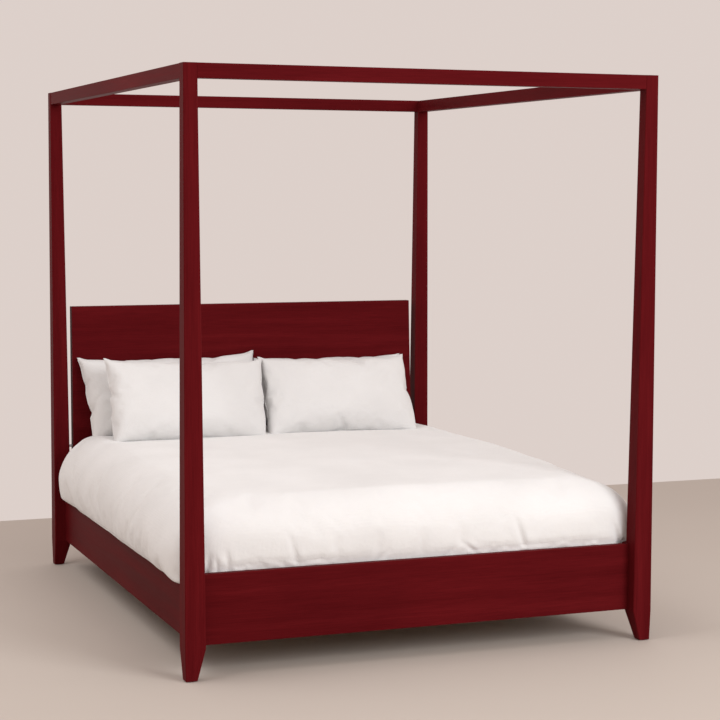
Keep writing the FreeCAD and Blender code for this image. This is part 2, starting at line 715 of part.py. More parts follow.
def make_headboard():
    """Plain headboard panel that stands on the head rail and leans back."""
    body = new_body("headboard")
    thick = dim("board_thick")
    rake = dim("board_rake")
    bottom = "%s + %s" % (dim("rail_high"), dim("board_lift"))
    top = dim("board_top")
    low = dim("board_half_low")
    slope = [("0", bottom), (thick, bottom), ("%s + %s" % (rake, thick), top), (rake, top)]
    add_prism(body, "YZ_Plane", "-(%s)" % low, slope, "2 * %s" % low)
    round_edges(body, ACROSS, 1000, dim("board_round"))
    for side in (-1, 1):
        edge = "%d * %s" % (side, low)
        narrow = "%d * %s" % (side, dim("board_half_top"))
        beyond = "%d * (%s + %s)" % (side, low, CLEAR)
        cut_prism(body, "XZ_Plane", "-(%s)" % CLEAR,
                  [(edge, bottom), (beyond, bottom), (beyond, "%s + %s" % (top, CLEAR)),
                   (narrow, "%s + %s" % (top, CLEAR)), (narrow, top)], "%s + %s + 2 * %s" % (rake, thick,
                                                                                             CLEAR))
    for level in (dim("board_pin_low"), dim("board_pin_high")):
        middle = "%s + %s / 2" % (board_lean_at(level), thick)
        deep = "%s - %s + %s + %s + %s" % (low, HALF_WIDTH, dim("board_pin_start"), dim("board_pin_long"),
                                           SPARE)
        for side in (-1, 1):
            bore(body, "YZ_Plane", low if side > 0 else "-(%s)" % low, [(middle, level)], dim("dowel_bore"),
                 deep, side < 0)
    for out in (dim("board_dowel_in"), dim("board_dowel_out")):
        half = "%s / 2" % dim("rail_thick")
        bore(body, "XY_Plane", bottom, [(out, half), ("-(%s)" % out, half)], dim("dowel_bore"),
             "%s + %s" % (dim("board_dowel_deep"), SPARE), True)
    place(body, "0", WELL_HALF_LENGTH)
    keep(body, "headboard")


def make_headboard_pins():
    """Steel pins from the head posts into the headboard's edges."""
    body = new_body("headboard_pins_left")
    for level in (dim("board_pin_low"), dim("board_pin_high")):
        middle = "%s + %s / 2" % (board_lean_at(level), dim("board_thick"))
        add_rods(body, "YZ_Plane", dim("board_pin_start"), [(middle, level)], dim("dowel_wide"),
                 dim("board_pin_long"))
    place(body, "-(%s)" % HALF_WIDTH, WELL_HALF_LENGTH)
    group("headboard_pins", [body, mirrored(body, "headboard_pins_right", ACROSS)])


def make_headboard_dowels():
    """Upright dowels between the head rail and the headboard."""
    body = new_body("headboard_dowels")
    half = "%s / 2" % dim("rail_thick")
    places = []
    for out in (dim("board_dowel_in"), dim("board_dowel_out")):
        places += [(out, half), ("-(%s)" % out, half)]
    add_rods(body, "XY_Plane", "%s - %s" % (dim("rail_high"), dim("board_dowel_deep")), places,
             dim("dowel_wide"),
             "2 * %s" % dim("board_dowel_deep"))
    place(body, "0", WELL_HALF_LENGTH)
    keep(body, "headboard_dowels")


def make_ledges():
    """Battens inside the side rails that carry the slats."""
    body = new_body("slat_ledge_left")
    low = "%s - %s" % (dim("slat_low"), dim("ledge_tall"))
    half = "%s - 2" % WELL_HALF_LENGTH
    add_prism(body, "YZ_Plane", "0", rectangle("-(%s)" % half, half, low, dim("slat_low")), dim("ledge_wide"))
    bore(body, "YZ_Plane", dim("ledge_wide"), ledge_screw_points(), dim("screw_bore"), dim("ledge_wide"),
         False)
    bore(body, "YZ_Plane", dim("ledge_wide"), ledge_screw_points(), dim("head_bore"),
         dim("screw_head_tall"), False)
    middle = "%s / 2" % dim("ledge_wide")
    bore(body, "XY_Plane", dim("slat_low"), [(middle, slat_place(index)) for index in range(SLATS)],
         dim("screw_bore"), "%s - %s + %s" % (dim("slat_screw_deep"), dim("slat_thick"), SPARE), False)
    place(body, "-(%s)" % WELL_HALF_WIDTH)
    keep(body, "slat_ledge_left")
    keep(mirrored(body, "slat_ledge_right", ACROSS), "slat_ledge_right")


def make_ledge_screws():
    """Screws that hold the ledges to the side rails."""
    body = new_body("ledge_screws_left")
    points = ledge_screw_points()
    add_rods(body, "YZ_Plane", dim("ledge_wide"), points, dim("screw_head"), dim("screw_head_tall"), False)
    add_rods(body, "YZ_Plane", "%s - %s" % (dim("ledge_wide"), dim("screw_head_tall")), points,
             dim("screw_wide"),
             "%s - %s" % (dim("ledge_screw_deep"), dim("screw_head_tall")), False)
    place(body, "-(%s)" % WELL_HALF_WIDTH)
    group("ledge_screws", [body, mirrored(body, "ledge_screws_right", ACROSS)])


def slat_screw_out():
    """Distance of the slat screws from the bed's middle line."""
    return "%s - %s / 2" % (WELL_HALF_WIDTH, dim("ledge_wide"))


def make_slats():
    """Fifteen slats across the bed."""
    for index in range(SLATS):
        label = "slat_%02d" % (index + 1)
        body = new_body(label)
        half = dim("slat_half")
        half_wide = "%s / 2" % dim("slat_wide")
        add_prism(body, "XY_Plane", "0", rectangle("-(%s)" % half, half, "-(%s)" % half_wide, half_wide),
                  dim("slat_thick"))
        round_edges(body, ACROSS, 1000, dim("slat_round"))
        centres = [(slat_screw_out(), "0"), ("-(%s)" % slat_screw_out(), "0")]
        bore(body, "XY_Plane", dim("slat_thick"), centres, dim("screw_bore"), dim("slat_thick"), False)
        bore(body, "XY_Plane", dim("slat_thick"), centres, dim("head_bore"), dim("screw_head_tall"), False)
        place(body, "0", slat_place(index), dim("slat_low"))
        keep(body, label)


def make_slat_screws():
    """Screws that hold the slats to the ledges."""
    body = new_body("slat_screws")
    points = []
    for index in range(SLATS):
        points += [(slat_screw_out(), slat_place(index)), ("-(%s)" % slat_screw_out(), slat_place(index))]
    top = "%s + %s" % (dim("slat_low"), dim("slat_thick"))
    add_rods(body, "XY_Plane", top, points, dim("screw_head"), dim("screw_head_tall"), False)
    add_rods(body, "XY_Plane", "%s - %s" % (top, dim("screw_head_tall")), points, dim("screw_wide"),
             "%s - %s" % (dim("slat_screw_deep"), dim("screw_head_tall")), False)
    place(body)
    keep(body, "slat_screws")


def make_beam():
    """Centre beam under the slats."""
    body = new_body("centre_beam")
    half = "%s / 2" % dim("beam_wide")
    low = "%s - %s" % (dim("slat_low"), dim("beam_tall"))
    add_prism(body, "XY_Plane", low, rectangle("-(%s)" % half, half, "-(%s)" % dim("beam_half"),
                                               dim("beam_half")),
              dim("beam_tall"))
    round_edges(body, ALONG, 1000, dim("edge_round"))
    bore(body, "XY_Plane", low, [("0", dim("leg_place")), ("0", "-(%s)" % dim("leg_place"))],
         dim("leg_bolt_bore"),
         "%s - (%s) + %s" % (dim("leg_bolt_high"), low, SPARE), True)
    place(body)
    keep(body, "centre_beam")


def make_hangers():
    """Steel stirrups that carry the beam's ends on the foot rail and the head rail."""
    body = new_body("beam_hanger_foot")
    thick = dim("hanger_thick")
    room = "%s / 2 + %s" % (dim("beam_wide"), dim("mortise_room"))
    beam_low = "%s - %s" % (dim("slat_low"), dim("beam_tall"))
    seat = "%s - %s - %s" % (beam_low, dim("mortise_room"), thick)
    add_prism(body, "XZ_Plane", "0", rectangle("-(%s)" % dim("hanger_half"), dim("hanger_half"), seat,
                                               dim("slat_low")), thick)
    add_prism(body, "XZ_Plane", "0", rectangle("-(%s) - %s" % (room, thick), "%s + %s" % (room, thick), seat,
                                               dim("hanger_cheek_top")), dim("hanger_deep"))
    cut_prism(body, "XZ_Plane", thick, rectangle("-(%s)" % room, room, "%s + %s" % (seat, thick),
                                                 "%s + %s" % (dim("slat_low"),
                                                              CLEAR)), dim("hanger_deep"), True)
    points = []
    for level in hanger_screw_levels():
        points += [(dim("hanger_screw_out"), level), ("-(%s)" % dim("hanger_screw_out"), level)]
    bore(body, "XZ_Plane", "0", points, PLATE_HOLE, thick, True)
    place(body, "0", "-(%s)" % WELL_HALF_LENGTH)
    keep(body, "beam_hanger_foot")
    keep(mirrored(body, "beam_hanger_head", ALONG), "beam_hanger_head")
    screws = new_body("hanger_screws_foot")
    add_rods(screws, "XZ_Plane", thick, points, dim("screw_head"), dim("screw_head_thin"))
    add_rods(screws, "XZ_Plane", thick, points, dim("screw_wide"),
             "%s + %s - 2" % (thick, dim("hanger_screw_deep")),
             False)
    place(screws, "0", "-(%s)" % WELL_HALF_LENGTH)
    group("hanger_screws", [screws, mirrored(screws, "hanger_screws_head", ALONG)])


def make_centre_legs():
    """Two tapered legs under the centre beam."""
    body = new_body("centre_leg_foot")
    top_half = "%s / 2" % dim("leg_top")
    foot_half = "%s / 2" % dim("leg_foot")
    top = "%s - %s" % (dim("slat_low"), dim("beam_tall"))
    add_loft(body, "XY_Plane", [
        (dim("glide_thick"), rectangle("-(%s)" % foot_half, foot_half, "-(%s)" % foot_half, foot_half)),
        (top, rectangle("-(%s)" % top_half, top_half, "-(%s)" % top_half, top_half))])
    bore(body, "XY_Plane", top, [("0", "0")], dim("leg_bolt_bore"),
         "%s - %s + %s" % (top, dim("leg_bolt_low"), SPARE),
         False)
    bore(body, "XY_Plane", dim("glide_thick"), [("0", "0")], PIN_BORE,
         "%s + %s" % (dim("glide_pin_long"), SPARE),
         True)
    place(body, "0", "-(%s)" % dim("leg_place"))
    keep(body, "centre_leg_foot")
    keep(mirrored(body, "centre_leg_head", ALONG), "centre_leg_head")
    bolts = new_body("leg_bolts")
    add_rods(bolts, "XY_Plane", dim("leg_bolt_low"),
             [("0", dim("leg_place")), ("0", "-(%s)" % dim("leg_place"))],
             dim("leg_bolt_wide"), "%s - %s" % (dim("leg_bolt_high"), dim("leg_bolt_low")))
    place(bolts)
    keep(bolts, "leg_bolts")


def make_glides():
    """Felt glides with a pin, one under each of the six feet."""
    body = new_body("foot_glides")
    out = "%s - %s - %s / 2" % (HALF_WIDTH, dim("foot_inset"), dim("foot_size"))
    end = "%s - %s - %s / 2" % (HALF_LENGTH, dim("foot_inset"), dim("foot_size"))
    places = [("0", dim("leg_place")), ("0", "-(%s)" % dim("leg_place"))]
    for x in (out, "-(%s)" % out):
        for y in (end, "-(%s)" % end):
            places.append((x, y))
    add_rods(body, "XY_Plane", "0", places, dim("glide_wide"), dim("glide_thick"))
    add_rods(body, "XY_Plane", dim("glide_thick"), places, dim("glide_pin"), dim("glide_pin_long"))
    place(body)
    keep(body, "foot_glides")


def make_mattress():
    """Plain mattress block with rounded corners."""
    body = new_body("mattress")
    half = "%s / 2" % dim("mattress_wide")
    half_long = "%s / 2" % dim("mattress_long")
    add_prism(body, "XY_Plane", "0", rectangle("-(%s)" % half, half, "-(%s)" % half_long, half_long),
              dim("mattress_thick"))
    round_edges(body, UP, 10, dim("mattress_round"))
    round_border(body, dim("mattress_edge"))
    place(body, "0", dim("mattress_shift"), "%s + %s + %s" % (dim("slat_low"), dim("slat_thick"),
                                                              dim("mattress_lift")))
    keep(body, "mattress")


def round_border(body, radius):
    """Round the edges round the top and bottom faces."""
    doc.recompute()
    base = body.Tip
    names = []
    for number, edge in enumerate(base.Shape.Edges, start=1):
        box = edge.BoundBox
        if box.ZLength < 0.001:
            names.append("Edge%d" % number)
    fillet = body.newObject("PartDesign::Fillet", body.Name + "_border")
    fillet.Base = (base, names)
    fillet.setExpression("Radius", radius)


def make_duvet():
    """Duvet over the mattress: it hangs over both side rails and tucks in at the foot."""
    body = new_body("duvet")
    rest = dim("duvet_rest")
    rail_out = "%s - %s + %s" % (HALF_WIDTH, dim("rail_recess"), rest)
    over_rail = "%s + 1.5 * %s" % (dim("rail_high"), rest)
    inside = "%s / 2 + %s" % (dim("mattress_wide"), rest)
    top = "%s + %s + %s + 2 * %s" % (dim("slat_low"), dim("slat_thick"), dim("mattress_thick"), rest)
    hem = dim("duvet_hem")
    out = dim("duvet_out")
    shoulder = dim("duvet_shoulder")
    crown = dim("duvet_crown")
    right = [
        (inside, top),
        (inside, over_rail),
        (rail_out, over_rail),
        (rail_out, hem),
        ("%s - %s" % (out, dim("duvet_hem_in")), hem),
        (out, "%s + %s" % (hem, dim("duvet_bulge_up"))),
        ("%s - %s" % (out, dim("duvet_brow_in")), "%s - %s" % (shoulder, dim("duvet_brow_down"))),
        ("%s - %s" % (out, dim("duvet_shoulder_in")), shoulder),
        ("%s / 2" % out, "%s + 0.7 * (%s - %s)" % (shoulder, crown, shoulder)),
    ]
    left = [("-(%s)" % x, y) for x, y in reversed(right)]
    start = "-(%s / 2) + %s - 3 * %s" % (dim("mattress_long"), dim("mattress_shift"), rest)
    add_prism(body, "XZ_Plane", start, right + [("0", crown)] + left,
              "%s - (%s)" % (dim("duvet_head_end"), start))
    tuck = "%s / 2 - %s" % (dim("mattress_wide"), dim("tuck_in"))
    tuck_top = "%s - %s" % (shoulder, dim("tuck_step"))
    brow = "%s - %s" % (shoulder, dim("tuck_brow"))
    bevel = "%s - %s" % (tuck, dim("tuck_bevel"))
    add_prism(body, "XZ_Plane", "-(%s)" % dim("duvet_foot_end"),
              [("-(%s)" % tuck, over_rail), (tuck, over_rail), (tuck, brow), (bevel, tuck_top),
               ("-(%s)" % bevel, tuck_top), ("-(%s)" % tuck, brow)],
              "%s + (%s)" % (dim("duvet_foot_end"), start))
    place(body)
    keep(body, "duvet")


PILLOWS = [
    # label, width, middle across, middle along, middle height, lean in degrees
    ("pillow_rear_left", "pillow_rear_wide", -362, 931, 745, 26),
    ("pillow_rear_right", "pillow_wide", 382, 931, 735, 28),
    ("pillow_front_left", "pillow_wide", -364, 786, 742, 31),
    ("pillow_front_right", "pillow_wide", 322, 786, 742, 31),
]


def make_pillows():
    """Four pillows that lean back against the headboard in two rows."""
    half_tall = "%s / 2" % dim("pillow_tall")
    face_wide = "%s / 2" % dim("pillow_face_wide")
    face_tall = "%s / 2" % dim("pillow_face_tall")
    half_thick = "%s / 2" % dim("pillow_thick")
    rim_thick = dim("pillow_rim_half")
    face = rectangle("-(%s)" % face_wide, face_wide, "-(%s)" % face_tall, face_tall)
    for label, width, across, along, level, lean in PILLOWS:
        half_wide = "%s / 2" % dim(width)
        rim = rectangle("-(%s)" % half_wide, half_wide, "-(%s)" % half_tall, half_tall)
        body = new_body(label)
        add_loft(body, "XZ_Plane", [("-(%s)" % half_thick, face), ("-(%s)" % rim_thick, rim),
                                    (rim_thick, rim),
                                    (half_thick, face)])
        leaning = FreeCAD.Rotation(ACROSS, -lean)
        body.Placement = FreeCAD.Placement(FreeCAD.Vector(across, along, level), leaning)
        keep(body, label)


make_posts()
make_lower_rails()
make_tester()
make_corner_plates()
make_corner_screws()
make_tester_dowels()
make_fasteners()
make_headboard()
make_headboard_pins()
make_headboard_dowels()
make_ledges()
make_ledge_screws()
make_slats()
make_slat_screws()
make_beam()
make_hangers()
make_centre_legs()
make_glides()
make_mattress()
make_duvet()
make_pillows()
doc.recompute()

for item in doc.Objects:
    for state in item.State:
        if state in ("Invalid", "Error"):
            raise RuntimeError("%s is %s" % (item.Label, state))

os.makedirs("parts", exist_ok=True)
for label, item in NODES:
    shape = item.Shape
    if shape.isNull() or not shape.isValid():
        raise RuntimeError("bad shape: " + label)
    shape.exportStep("parts/%s.step" % label)
    print("%-26s solids %2d volume %12.0f" % (label, len(shape.Solids), shape.Volume))
print("nodes", len(NODES))
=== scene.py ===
import math

import bmesh
import bpy
from mathutils import Euler, Matrix, Vector, noise


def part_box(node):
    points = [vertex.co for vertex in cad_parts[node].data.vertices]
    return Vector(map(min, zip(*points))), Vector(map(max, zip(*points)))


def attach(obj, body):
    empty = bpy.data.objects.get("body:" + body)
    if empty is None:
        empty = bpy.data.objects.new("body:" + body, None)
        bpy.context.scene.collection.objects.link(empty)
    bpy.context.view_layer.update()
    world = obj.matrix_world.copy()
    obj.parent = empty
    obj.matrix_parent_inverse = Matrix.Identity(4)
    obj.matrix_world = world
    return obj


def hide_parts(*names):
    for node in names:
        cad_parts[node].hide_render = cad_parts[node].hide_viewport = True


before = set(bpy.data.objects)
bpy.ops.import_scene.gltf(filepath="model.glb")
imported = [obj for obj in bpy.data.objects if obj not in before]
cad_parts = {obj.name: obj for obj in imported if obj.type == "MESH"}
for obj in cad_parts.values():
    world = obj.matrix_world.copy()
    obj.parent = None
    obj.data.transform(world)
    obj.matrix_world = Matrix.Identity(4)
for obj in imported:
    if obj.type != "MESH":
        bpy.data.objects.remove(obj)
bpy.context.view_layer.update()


def span(node):
    """Lowest and highest corner of a CAD node as vectors."""
    low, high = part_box(node)
    return Vector(low), Vector(high)


RAIL_HIGH = span("foot_rail")[1]
SIDE_LOW, SIDE_HIGH = span("side_rail_left")
MATTRESS_LOW, MATTRESS_HIGH = span("mattress")
DUVET_LOW, DUVET_HIGH = span("duvet")

# ---------------------------------------------------------------- materials


def new_material(name):
    """Material with an empty shader, its node tree and its principled node."""
    material = bpy.data.materials.new(name)
    material.use_nodes = True
    tree = material.node_tree
    return material, tree, tree.nodes["Principled BSDF"]


def add_node(tree, kind, **settings):
    """Node with some of its settings and input values set."""
    node = tree.nodes.new(kind)
    for key, value in settings.items():
        if key in node.inputs:
            node.inputs[key].default_value = value
        else:
            setattr(node, key, value)
    return node


def stretched_noise(tree, stretch, detail=4.0, roughness=0.55):
    """Noise over the row's own coordinates, stretched by a scale for each axis."""
    place = add_node(tree, "ShaderNodeTexCoord")
    mapping = add_node(tree, "ShaderNodeMapping", Scale=stretch)
    texture = add_node(tree, "ShaderNodeTexNoise", Scale=1.0, Detail=detail, Roughness=roughness)
    tree.links.new(place.outputs["Object"], mapping.inputs["Vector"])
    tree.links.new(mapping.outputs["Vector"], texture.inputs["Vector"])
    return texture.outputs["Fac"]


def ramp(tree, value, stops):
    """Colour ramp over a value, from pairs of position and colour."""
    node = add_node(tree, "ShaderNodeValToRGB")
    elements = node.color_ramp.elements
    while len(elements) < len(stops):
        elements.new(0.5)
    for element, (position, colour) in zip(elements, stops):
        element.position = position
        element.color = (*colour, 1.0)
    tree.links.new(value, node.inputs["Fac"])
    return node.outputs["Color"]


def remap(tree, value, low, high):
    """Value from 0 to 1 remapped to run from low to high."""
    node = add_node(tree, "ShaderNodeMapRange")
    node.inputs["To Min"].default_value = low
    node.inputs["To Max"].default_value = high
    tree.links.new(value, node.inputs["Value"])
    return node.outputs["Result"]


def mixed(tree, blend, factor, first, second):
    """Two colours mixed, with the factor a number or a link."""
    node = add_node(tree, "ShaderNodeMix", data_type="RGBA", blend_type=blend)
    for socket, value in ((node.inputs[0], factor), (node.inputs[6], first), (node.inputs[7], second)):
        if isinstance(value, bpy.types.NodeSocket):
            tree.links.new(value, socket)
        else:
            socket.default_value = value
    return node.outputs[2]


def bump(tree, shader, height, strength, distance):
    """Bump from a height value."""
    node = add_node(tree, "ShaderNodeBump", Strength=strength, Distance=distance)
    tree.links.new(height, node.inputs["Height"])
    tree.links.new(node.outputs["Normal"], shader.inputs["Normal"])


def painted_highlight_edges(tree, radius):
    """1 near sharp edges and 0 on flat faces: the mask of a painted highlight along the edges."""
    bevel = add_node(tree, "ShaderNodeBevel", Radius=radius)
    bevel.samples = 4
    flat = add_node(tree, "ShaderNodeNewGeometry")
    dot = add_node(tree, "ShaderNodeVectorMath", operation="DOT_PRODUCT")
    tree.links.new(bevel.outputs["Normal"], dot.inputs[0])
    tree.links.new(flat.outputs["Normal"], dot.inputs[1])
    edge = add_node(tree, "ShaderNodeMapRange")
    edge.inputs["From Min"].default_value = 1.0
    edge.inputs["From Max"].default_value = 0.75
    tree.links.new(dot.outputs["Value"], edge.inputs["Value"])
    return edge.outputs["Result"]


def along(axis, across, lengthwise):
    """Noise scale that is stretched along one axis, so that grain runs along it."""
    return tuple(lengthwise if i == "XYZ".index(axis) else across for i in range(3))


def stained_wood(axis):
    """Deep burgundy stain with a faint grain along one axis and a painted highlight along its edges."""
    material, tree, shader = new_material("stained_wood_" + axis.lower())
    streaks = stretched_noise(tree, along(axis, 26.0, 0.9), detail=5.0)
    pores = stretched_noise(tree, along(axis, 420.0, 9.0), detail=3.0, roughness=0.7)
    patches = stretched_noise(tree, (1.6, 1.6, 1.6), detail=2.0)
    stain = ramp(tree, streaks, [(0.25, (0.082, 0.0050, 0.0066)), (0.55, (0.104, 0.0066, 0.0086)),
                                 (0.8, (0.130, 0.0090, 0.0112))])
    fine = ramp(tree, pores, [(0.3, (0.72, 0.68, 0.70)), (0.6, (1.0, 1.0, 1.0))])
    clouds = ramp(tree, patches, [(0.3, (0.88, 0.86, 0.88)), (0.7, (1.06, 1.03, 1.03))])
    colour = mixed(tree, "MULTIPLY", 0.8, stain, fine)
    colour = mixed(tree, "MULTIPLY", 1.0, colour, clouds)
    # Painted highlight: near the edges the stain is mixed towards a brighter red, as if the edges caught the
    # light.
    edge_highlight = remap(tree, painted_highlight_edges(tree, 0.003), 0.0, 0.35)
    colour = mixed(tree, "MIX", edge_highlight, colour, (0.17, 0.011, 0.013, 1.0))
    tree.links.new(colour, shader.inputs["Base Color"])
    tree.links.new(remap(tree, streaks, 0.36, 0.52), shader.inputs["Roughness"])
    shader.inputs["Specular IOR Level"].default_value = 0.02
    shader.inputs["Specular Tint"].default_value = (1.0, 0.12, 0.12, 1.0)
    bump(tree, shader, pores, 0.10, 0.0004)
    return material


def pale_wood(name, axis, dark, light):
    """Unfinished wood with soft grain along one axis."""
    material, tree, shader = new_material(name)
    rings = stretched_noise(tree, along(axis, 34.0, 1.4), detail=6.0, roughness=0.6)
    fibres = stretched_noise(tree, along(axis, 600.0, 12.0), detail=2.0)
    colour = ramp(tree, rings, [(0.3, dark), (0.65, light)])
    fine = ramp(tree, fibres, [(0.25, (0.84, 0.80, 0.76)), (0.6, (1.0, 1.0, 1.0))])
    colour = mixed(tree, "MULTIPLY", 0.7, colour, fine)
    tree.links.new(colour, shader.inputs["Base Color"])
    tree.links.new(remap(tree, fibres, 0.55, 0.78), shader.inputs["Roughness"])
    bump(tree, shader, fibres, 0.15, 0.0005)
    return material


def zinc_steel(name, tone):
    """Zinc-plated steel with faint mottling and brushed scratches."""
    material, tree, shader = new_material(name)
    spangle = stretched_noise(tree, (120.0, 120.0, 120.0), detail=2.0)
    scratches = stretched_noise(tree, (900.0, 900.0, 30.0), detail=2.0)
    low = tuple(0.82 * channel for channel in tone)
    colour = ramp(tree, spangle, [(0.3, low), (0.7, tone)])
    tree.links.new(colour, shader.inputs["Base Color"])
    tree.links.new(remap(tree, scratches, 0.28, 0.5), shader.inputs["Roughness"])
    shader.inputs["Metallic"].default_value = 1.0
    bump(tree, shader, scratches, 0.08, 0.0002)
    return material


def felt():
    """Dense dark felt."""
    material, tree, shader = new_material("felt")
    fibres = stretched_noise(tree, (900.0, 900.0, 900.0), detail=4.0, roughness=0.8)
    colour = ramp(tree, fibres, [(0.3, (0.028, 0.024, 0.022)), (0.7, (0.075, 0.066, 0.060))])
    tree.links.new(colour, shader.inputs["Base Color"])
    shader.inputs["Roughness"].default_value = 0.95
    shader.inputs["Sheen Weight"].default_value = 0.4
    bump(tree, shader, fibres, 0.5, 0.001)
    return material


def weave(tree, threads):
    """Height of a plain weave over the row's own coordinates, with threads per metre."""
    place = add_node(tree, "ShaderNodeTexCoord")
    bands = []
    for direction in ("X", "Y"):
        wave = add_node(tree, "ShaderNodeTexWave", wave_type="BANDS", bands_direction=direction,
                        Scale=threads / 20.0, Distortion=0.6)
        tree.links.new(place.outputs["Object"], wave.inputs["Vector"])
        bands.append(wave.outputs["Fac"])
    node = add_node(tree, "ShaderNodeMath", operation="MAXIMUM")
    tree.links.new(bands[0], node.inputs[0])
    tree.links.new(bands[1], node.inputs[1])
    return node.outputs["Value"]


def cotton(name, shade, light):
    """White woven cotton with a soft sheen and slight variations of tone."""
    material, tree, shader = new_material(name)
    clouds = stretched_noise(tree, (3.5, 3.5, 3.5), detail=3.0)
    creases = stretched_noise(tree, (34.0, 34.0, 34.0), detail=5.0, roughness=0.6)
    colour = ramp(tree, clouds, [(0.3, shade), (0.7, light)])
    tree.links.new(colour, shader.inputs["Base Color"])
    tree.links.new(remap(tree, creases, 0.78, 0.92), shader.inputs["Roughness"])
    shader.inputs["Specular IOR Level"].default_value = 0.25
    shader.inputs["Sheen Weight"].default_value = 0.22
    shader.inputs["Sheen Roughness"].default_value = 0.5
    shader.inputs["Subsurface Weight"].default_value = 0.06
    shader.inputs["Subsurface Radius"].default_value = (0.02, 0.018, 0.016)
    height = add_node(tree, "ShaderNodeMath", operation="MULTIPLY_ADD")
    height.inputs[1].default_value = 6.0
    tree.links.new(creases, height.inputs[0])
    tree.links.new(weave(tree, 1400.0), height.inputs[2])
    bump(tree, shader, height.outputs["Value"], 0.30, 0.0010)
    return material


WOOD = {axis: stained_wood(axis) for axis in "XYZ"}
SLAT_WOOD = pale_wood("slat_wood", "X", (0.38, 0.23, 0.11), (0.58, 0.40, 0.22))
BEAM_WOOD = pale_wood("support_wood", "Y", (0.30, 0.17, 0.08), (0.46, 0.30, 0.16))
LEG_WOOD = pale_wood("leg_wood", "Z", (0.30, 0.17, 0.08), (0.46, 0.30, 0.16))
DOWEL_WOOD = pale_wood("dowel_wood", "Z", (0.46, 0.30, 0.16), (0.62, 0.45, 0.27))
PLATE_STEEL = zinc_steel("plate_steel", (0.56, 0.56, 0.58))
SCREW_STEEL = zinc_steel("screw_steel", (0.62, 0.60, 0.55))
FELT = felt()
DUVET_COTTON = cotton("duvet_cotton", (0.735, 0.732, 0.726), (0.79, 0.788, 0.784))
PILLOW_COTTON = cotton("pillow_cotton", (0.665, 0.66, 0.655), (0.715, 0.712, 0.708))
TICKING = cotton("mattress_ticking", (0.70, 0.67, 0.62), (0.78, 0.755, 0.71))


def material_of(node):
    """Material of a CAD node, with its grain along the piece."""
    if node.startswith("post_foot") or node.startswith("post_head"):
        return WOOD["Z"]
    if node in ("side_rail_left", "side_rail_right", "tester_rail_left", "tester_rail_right"):
        return WOOD["Y"]
    if node in ("foot_rail", "head_rail", "tester_rail_foot", "tester_rail_head", "headboard"):
        return WOOD["X"]
    if node.endswith("dowels"):
        return DOWEL_WOOD
    if node.endswith("screws") or node.endswith("bolts"):
        return SCREW_STEEL
    if "plate" in node or "hanger" in node or node == "headboard_pins":
        return PLATE_STEEL
    if node.startswith("slat_ledge") or node == "centre_beam":
        return BEAM_WOOD
    if node.startswith("centre_leg"):
        return LEG_WOOD
    if node.startswith("slat_"):
        return SLAT_WOOD
    return FELT


SOFT = (
    "mattress",
    "duvet",
    "pillow_front_left",
    "pillow_front_right",
    "pillow_rear_left",
    "pillow_rear_right",
)


def paint_frame():
    """Give every CAD node that stays in view its material."""
    for name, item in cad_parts.items():
        if name not in SOFT:
            item.data.materials.clear()
            item.data.materials.append(material_of(name))


# ---------------------------------------------------------------- soft goods


def smooth(value, low, high):
    """0 below low, 1 above high, with a smooth rise between."""
    t = min(1.0, max(0.0, (value - low) / (high - low)))
    return t * t * (3.0 - 2.0 * t)


def mesh_object(name, points, faces, material):
    """Mesh object with smooth shading. The faces of a closed mesh are turned outward."""
    mesh = bpy.data.meshes.new(name)
    mesh.from_pydata([tuple(point) for point in points], [], faces)
    bm = bmesh.new()
    bm.from_mesh(mesh)
    bmesh.ops.recalc_face_normals(bm, faces=bm.faces)
    bm.to_mesh(mesh)
    bm.free()
    mesh.polygons.foreach_set("use_smooth", [True] * len(mesh.polygons))
    mesh.materials.append(material)
    item = bpy.data.objects.new(name, mesh)
    bpy.context.scene.collection.objects.link(item)
    return item


def two_layers(columns, rows, outer, inner, rim):
    """Closed mesh from two grids joined round their border through one row of rim points.

    outer, inner and rim give a point for a column and a row."""
    points = []
    index = {}
    for layer, place in (("outer", outer), ("inner", inner)):
        for j in range(rows + 1):
            for i in range(columns + 1):
                index[layer, i, j] = len(points)
                points.append(place(i, j))
    border = [(i, 0) for i in range(columns)]
    border += [(columns, j) for j in range(rows)]
    border += [(i, rows) for i in range(columns, 0, -1)]
    border += [(0, j) for j in range(rows, 0, -1)]
    for i, j in border:
        index["rim", i, j] = len(points)
        points.append(rim(i, j))
    faces = []
    for j in range(rows):
        for i in range(columns):
            corners = [(i, j), (i + 1, j), (i + 1, j + 1), (i, j + 1)]
            faces.append([index["outer", a, b] for a, b in corners])
            faces.append([index["inner", a, b] for a, b in reversed(corners)])
    for here, there in zip(border, border[1:] + border[:1]):
        for above, below in (("outer", "rim"), ("rim", "inner")):
            faces.append([index[above, *there], index[above, *here],
                          index[below, *here], index[below, *there]])
    loop = [index["rim", i, j] for i, j in border]
    outer_count = (columns + 1) * (rows + 1)
    return points, faces, loop, outer_count


def weight_group(item, name, weights):
    """Vertex group with a weight for each vertex."""
    group = item.vertex_groups.new(name=name)
    for index, weight in enumerate(weights):
        group.add([index], weight, "REPLACE")


